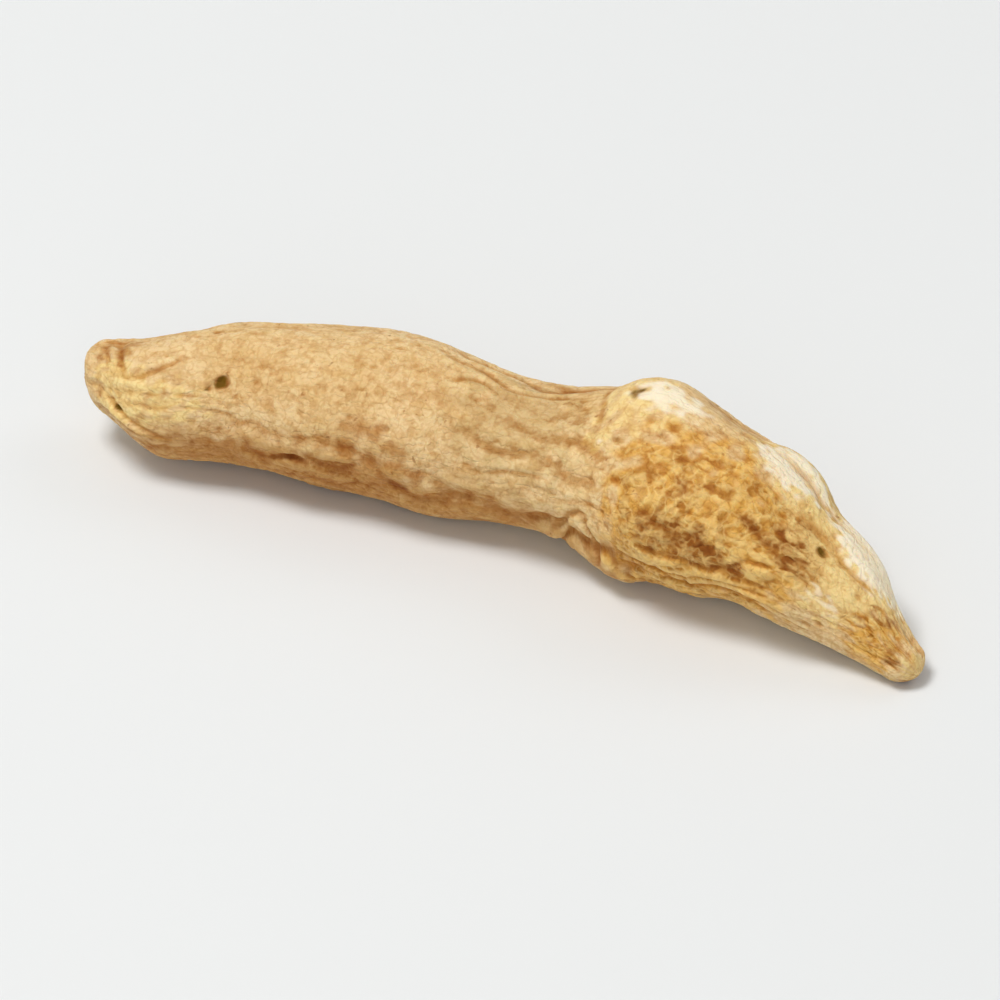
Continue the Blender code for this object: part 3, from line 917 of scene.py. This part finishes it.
def add(tree, kind, settings, inputs):
    """Adds a node with its settings, and fills its inputs with values or other nodes' outputs."""
    made = tree.nodes.new(kind)
    made.location = (220 * (len(tree.nodes) // 6), -200 * (len(tree.nodes) % 6))
    for name, value in settings.items():
        setattr(made, name, value)
    for name, value in inputs.items():
        if isinstance(value, bpy.types.NodeSocket):
            tree.links.new(value, made.inputs[name])
        else:
            made.inputs[name].default_value = value
    return made


def new_material(name):
    """An empty node material and its tree."""
    material = bpy.data.materials.new(name)
    material.use_nodes = True
    material.node_tree.nodes.clear()
    return material, material.node_tree


def sum_of(tree, start, masks, shares):
    """A start value plus shares of masks, one multiply-add node for each."""
    total = start
    for mask, share in shares:
        inputs = {0: masks[mask], 1: share, 2: total}
        total = add(tree, "ShaderNodeMath", {"operation": "MULTIPLY_ADD"}, inputs).outputs["Value"]
    return total


def leather_cells(tree, place):
    """Small raised cells with creases between: a soft step in the distance to a cell's edge."""
    scale = (LEATHER_DRAWN_OUT, 1.0, 1.0)
    drawn_out = add(tree, "ShaderNodeMapping", {}, {"Vector": place, "Scale": scale})
    stray = add(tree, "ShaderNodeTexNoise", {}, {"Vector": place, "Scale": 1 / LEATHER_CELL_MM})
    inputs = {
        0: stray.outputs["Color"],
        1: (LEATHER_STRAY, LEATHER_STRAY, LEATHER_STRAY),
        2: drawn_out.outputs["Vector"],
    }
    strayed = add(tree, "ShaderNodeVectorMath", {"operation": "MULTIPLY_ADD"}, inputs)
    inputs = {"Vector": strayed.outputs["Vector"], "Scale": 1 / LEATHER_CELL_MM}
    cells = add(tree, "ShaderNodeTexVoronoi", {"feature": "DISTANCE_TO_EDGE"}, inputs)
    inputs = {"Value": cells.outputs["Distance"], "From Max": LEATHER_CREASE_SHARE}
    raised = add(tree, "ShaderNodeMapRange", {"interpolation_type": "SMOOTHSTEP"}, inputs)
    return raised.outputs["Result"]


def dried_root_skin(settings):
    """Dried root skin: thin, horny and a little translucent, straw to amber, with a waxy gleam.

    Crests are paler, a painted highlight, and furrows darker, a painted shade, than the skin round
    them, and rubbed white lies more on the crests. All patterns lie on the straightened body, in
    millimetres, so they follow the skin round its bend.
    """
    material, tree = new_material("dried_root_skin")
    masks = {
        name: add(tree, "ShaderNodeAttribute", {"attribute_name": name}, {}).outputs["Fac"]
        for name in FIELDS
    }
    place = add(tree, "ShaderNodeAttribute", {"attribute_name": "place"}, {}).outputs["Vector"]
    inputs = {"Vector": place, "Scale": (NOISE_DRAWN_OUT, 1.0, 1.0)}
    drawn_out = add(tree, "ShaderNodeMapping", {}, inputs).outputs["Vector"]
    vectors = {"round": place, "long": drawn_out}
    for name, shape, size_mm, detail in NOISES_MM:
        inputs = {"Vector": vectors[shape], "Scale": 1 / size_mm, "Detail": detail}
        inputs["Roughness"] = NOISE_ROUGHNESS
        masks[name] = add(tree, "ShaderNodeTexNoise", {}, inputs).outputs["Fac"]
    for name, noise in LINES:
        line = add(tree, "ShaderNodeMath", {"operation": "PINGPONG"}, {0: masks[noise], 1: 0.5})
        masks[name] = line.outputs["Value"]
    for name, first, second in PRODUCTS:
        inputs = {0: masks[first], 1: masks[second]}
        product = add(tree, "ShaderNodeMath", {"operation": "MULTIPLY"}, inputs)
        masks[name] = product.outputs["Value"]
    masks["leather"] = leather_cells(tree, place)

    colour = (*settings.straw, 1.0)
    for mask, low, high, most, blend, tone_name in LAYERS:
        inputs = {"Value": masks[mask], "From Min": low, "From Max": high, "To Max": most}
        share = add(tree, "ShaderNodeMapRange", {"interpolation_type": "SMOOTHSTEP"}, inputs)
        mixing = {"data_type": "RGBA", "blend_type": blend}
        inputs = {0: share.outputs["Result"], 6: colour, 7: (*getattr(settings, tone_name), 1.0)}
        colour = add(tree, "ShaderNodeMix", mixing, inputs).outputs[2]

    rough = sum_of(tree, SKIN_ROUGHNESS, masks, ROUGHNESS_CHANGES)
    height = sum_of(tree, masks["grain"], masks, RAISED_BY)
    inputs = {"Height": height, "Strength": RAISED_STRENGTH, "Distance": RAISED_M}
    bump = add(tree, "ShaderNodeBump", {}, inputs).outputs["Normal"]
    inputs = {"Base Color": colour, "Roughness": rough, "Normal": bump, **SKIN_LIGHT}
    shader = add(tree, "ShaderNodeBsdfPrincipled", {}, inputs)
    add(tree, "ShaderNodeOutputMaterial", {}, {"Surface": shader.outputs["BSDF"]})
    return material


def matt_board(settings):
    """Matt white board: an even, chalky pale surface that takes soft shadows."""
    material, tree = new_material("matt_board")
    inputs = {"Base Color": (*settings.floor_colour, 1.0), **BOARD_LIGHT}
    shader = add(tree, "ShaderNodeBsdfPrincipled", {}, inputs)
    add(tree, "ShaderNodeOutputMaterial", {}, {"Surface": shader.outputs["BSDF"]})
    return material


def placed(name, data):
    """A new object in the scene, at the origin, that holds the data."""
    made = bpy.data.objects.new(name, data)
    bpy.context.scene.collection.objects.link(made)
    return made


def make_tuber(settings):
    """Builds the skin over the solid's place, and stands it in for the solid."""
    points, fields, place = skin(settings)
    lowest, highest = (np.array(corner) / METRES_PER_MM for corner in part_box("tuber"))
    middle = (points.min(axis=(0, 1)) + points.max(axis=(0, 1))) / 2
    shift = (lowest + highest) / 2 - middle
    points[..., :2] += shift[:2]
    ends = np.stack([points[0].mean(axis=0), points[-1].mean(axis=0)])
    points[..., 2] = np.maximum(points[..., 2], 0.0)
    mesh = closed_skin("tuber_skin", points, ends)
    for name, values in fields.items():
        store(mesh, name, with_ends(values))
    store(mesh, "place", with_ends(place))
    mesh.materials.append(dried_root_skin(settings))
    tuber = placed("tuber_skin", mesh)
    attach(tuber, "root")
    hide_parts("tuber")


def make_floor(settings):
    """A round floor that sweeps up into a low wall: a line, a quarter circle and a line, turned
    about Z."""
    share = np.linspace(0, 1, FLOOR_RINGS) ** 2
    quarter = FLOOR_SWEEP_M * np.pi / 2
    run = share * (FLOOR_REACH_M + quarter + FLOOR_WALL_M)
    bend = np.clip(run - FLOOR_REACH_M, 0, quarter) / FLOOR_SWEEP_M
    out = np.minimum(run, FLOOR_REACH_M) + FLOOR_SWEEP_M * np.sin(bend)
    up = FLOOR_SWEEP_M * (1 - np.cos(bend)) + np.maximum(run - FLOOR_REACH_M - quarter, 0)
    turns = np.arange(FLOOR_SPOKES) * FULL_TURN / FLOOR_SPOKES
    out, turn = np.meshgrid(out, turns, indexing="ij")
    up = np.broadcast_to(up[:, None], out.shape)
    points = np.stack([out * np.cos(turn), out * np.sin(turn), up], axis=-1)
    quads = quads_between(FLOOR_RINGS, FLOOR_SPOKES)[2]
    mesh = bpy.data.meshes.new("floor")
    mesh.from_pydata(points.reshape(-1, 3).tolist(), [], quads.tolist())
    mesh.shade_smooth()
    mesh.materials.append(matt_board(settings))
    placed("floor", mesh)


def make_light(name, power, size, place, colour):
    """A square soft light at a place in metres, turned to face the tuber."""
    lamp = bpy.data.lights.new(name, "AREA")
    lamp.energy = power
    lamp.size = size
    lamp.color = colour
    light = placed(name, lamp)
    light.location = place
    light.rotation_euler = (-Vector(place)).to_track_quat("-Z", "Y").to_euler()


def make_camera(settings):
    """A long lens at the given angles, so far off that the tuber fills its share of the frame."""
    azimuth, elevation = settings.view_azimuth, settings.view_elevation
    right = Vector((math.cos(azimuth), math.sin(azimuth), 0))
    front = Vector((math.sin(azimuth), -math.cos(azimuth), 0))
    back = front * math.cos(elevation) + Vector((0, 0, math.sin(elevation)))
    up = back.cross(right)
    tuber = bpy.data.objects["tuber_skin"]
    points = np.empty(len(tuber.data.vertices) * 3)
    tuber.data.vertices.foreach_get("co", points)
    seen = points.reshape(-1, 3) @ np.array([right, up, back]).T
    lowest, highest = seen.min(axis=0), seen.max(axis=0)
    centre = (lowest + highest) / 2
    width = highest[0] - lowest[0]
    camera_data = bpy.data.cameras.new("camera")
    camera_data.lens = settings.lens
    camera_data.sensor_width = settings.sensor
    distance = width / settings.frame_share * settings.lens / settings.sensor
    camera_data.clip_start = distance / CLIP_RANGE
    camera_data.clip_end = distance * CLIP_RANGE
    camera = placed("camera", camera_data)
    middle = centre[0] * right + centre[1] * up + centre[2] * back
    camera.location = middle + back * distance
    camera.rotation_euler = back.to_track_quat("Z", "Y").to_euler()
    bpy.context.scene.camera = camera


def make_world(settings):
    """An even pale surround."""
    world = bpy.data.worlds.new("pale_surround")
    world.use_nodes = True
    tree = world.node_tree
    tree.nodes.clear()
    colour = (*settings.surround_colour, 1.0)
    inputs = {"Color": colour, "Strength": settings.surround_strength}
    light = add(tree, "ShaderNodeBackground", {}, inputs)
    add(tree, "ShaderNodeOutputWorld", {}, {"Surface": light.outputs["Background"]})
    bpy.context.scene.world = world
    bpy.context.scene.view_settings.view_transform = "Standard"


def colour_setting(name, description, code):
    """A colour setting whose default is an sRGB hex colour."""
    details = {"name": name, "description": description, "default": linear(code)}
    return bpy.props.FloatVectorProperty(subtype="COLOR", size=3, min=0, max=1, **details)


def setting(name, description, default, **kind):
    """A number's setting, of one of the kinds named at the top or with limits of its own."""
    return bpy.props.FloatProperty(name=name, description=description, default=default, **kind)


class TuberSettings(bpy.types.PropertyGroup):
    """Sizes and colours of the tuber's skin."""

    rings: bpy.props.IntProperty(
        name="Rings", description="Rings of points along the tuber", default=452, min=60, max=460
    )
    points_round: bpy.props.IntProperty(
        name="Points round", description="Points in each ring", default=216, min=24, max=216
    )
    wrinkle_depth: setting("Wrinkle depth", "Depth of the deepest wrinkles", 0.00005, **RELIEF)
    worm_height: setting("Pucker height", "Height of worm-like puckers", 0.000024, **RELIEF)
    straw: colour_setting("Straw", "Lightest plain skin", "#f0d3a1")
    tan: colour_setting("Tan", "Blotches and streaks of the plain skin", "#dbb16f")
    # Deep tan on the lower side is a painted shade; elsewhere it marks tan patches of the skin.
    deep_tan: colour_setting("Deep tan", "Browner skin of the lower side", "#b27018")
    amber: colour_setting("Amber", "Horny, translucent skin of the thickest third", "#e6af4c")
    # Over the ridges of the amber skin, pale amber is a painted highlight; along its threads it is
    # the skin's own tone.
    pale_amber: colour_setting("Pale amber", "Ridges of the amber skin", "#f7d68e")
    # In the furrows of the amber skin, deep amber is a painted shade; in its mottling and veins it
    # is the skin's own tone.
    deep_amber: colour_setting("Deep amber", "Darker mottling of the amber skin", "#a5681a")
    # Along the upper right edge of the thick part, cream is partly a painted highlight.
    cream: colour_setting("Cream", "Pale skin at the ends and along the upper edge", "#f6da97")
    # Along the upper right edge of the thick part, rubbed white is partly a painted highlight.
    rubbed: colour_setting("Rubbed", "Skin rubbed through to the white layer", "#fff3da")
    brown: colour_setting("Brown", "Brown stains, specks and the stem scar", "#98591a")
    # In the furrows this tint is a painted shade; over patches, veins, grain and stains it is the
    # skin's own.
    shade: colour_setting("Shade", "Tint of the furrows, multiplied with the skin", "#d6b27a")
    # On the crests this tint is a painted highlight; along the threads it is the skin's own paler
    # tone.
    glow: colour_setting("Glow", "Tint of the worn crests, added to the skin", "#8a764a")
    # Over the neck this grey is a painted shade; on the rubbed skin it makes grey patches at
    # random.
    chalk_shade: colour_setting("Chalk shade", "Grey shading of the rubbed skin", "#ddd6c6")
    pit: colour_setting("Pit", "Insides of the pits", "#705008")


class StageSettings(bpy.types.PropertyGroup):
    """Camera, lights, floor and surround."""

    view_azimuth: setting(
        "Azimuth", "Turn of the camera from -Y towards +X", math.radians(27.5), **ANGLE
    )
    view_elevation: setting(
        "Elevation", "Angle of the camera above the floor", math.radians(40), **ANGLE
    )
    lens: setting("Lens", "Focal length", 400, min=20, max=800, unit="CAMERA")
    sensor: setting("Sensor", "Width of the sensor", 36, min=8, max=60, unit="CAMERA")
    frame_share: setting(
        "Share of the frame", "Share that the tuber fills", 0.84, min=0.2, max=1, subtype="FACTOR"
    )
    key_power: setting("Key light", "Light from above and the left", 0.54, **POWER)
    fill_power: setting("Fill light", "Light from the front", 0.15, **POWER)
    rim_power: setting("Rim light", "Light from behind", 0.05, **POWER)
    surround_strength: setting("Surround", "Strength of the pale surround", 0.38, min=0, max=3)
    floor_colour: colour_setting("Floor", "Matt board under the tuber", "#eaeef2")
    surround_colour: colour_setting("Surround colour", "Pale surround", "#fff9ef")


class OPHIOPOGON_OT_tuber(bpy.types.Operator):
    """Builds the tuber's skin over its solid"""

    bl_idname = "ophiopogon.tuber"
    bl_label = "Build the tuber"

    def execute(self, context):
        """Builds the tuber from the scene's settings."""
        make_tuber(context.scene.tuber_settings)
        return {"FINISHED"}


class OPHIOPOGON_OT_stage(bpy.types.Operator):
    """Builds the floor, the lights, the surround and the camera"""

    bl_idname = "ophiopogon.stage"
    bl_label = "Build the stage"

    def execute(self, context):
        """Builds the stage round the tuber, which the camera is placed by."""
        if "tuber_skin" not in bpy.data.objects:
            raise RuntimeError("the camera is placed by the tuber, so the tuber is built first")
        settings = context.scene.stage_settings
        make_floor(settings)
        for name, size, place, colour in LIGHTS:
            make_light(name, getattr(settings, f"{name}_power"), size, place, colour)
        make_world(settings)
        make_camera(settings)
        return {"FINISHED"}


class OPHIOPOGON_PT_panel(bpy.types.Panel):
    """Lists the tuber's and the stage's operators and settings"""

    bl_label = "Ophiopogon tuber"
    bl_idname = "OPHIOPOGON_PT_panel"
    bl_space_type = "VIEW_3D"
    bl_region_type = "UI"
    bl_category = "Tuber"

    def draw(self, context):
        """Shows each group's settings over its operator's button."""
        for operator, group in (
            (OPHIOPOGON_OT_tuber, context.scene.tuber_settings),
            (OPHIOPOGON_OT_stage, context.scene.stage_settings),
        ):
            box = self.layout.box()
            for name in group.__annotations__:
                box.prop(group, name)
            box.operator(operator.bl_idname)


CLASSES = (
    TuberSettings,
    StageSettings,
    OPHIOPOGON_OT_tuber,
    OPHIOPOGON_OT_stage,
    OPHIOPOGON_PT_panel,
)


def register():
    """Registers the classes and hangs their settings on the scene."""
    for item in CLASSES:
        bpy.utils.register_class(item)
    bpy.types.Scene.tuber_settings = bpy.props.PointerProperty(type=TuberSettings)
    bpy.types.Scene.stage_settings = bpy.props.PointerProperty(type=StageSettings)


def unregister():
    """Takes the settings and the classes away again."""
    del bpy.types.Scene.stage_settings
    del bpy.types.Scene.tuber_settings
    for item in reversed(CLASSES):
        bpy.utils.unregister_class(item)


def main():
    """Builds the tuber and the stage."""
    register()
    bpy.ops.ophiopogon.tuber()
    bpy.ops.ophiopogon.stage()


if __name__ == "__main__":
    main()
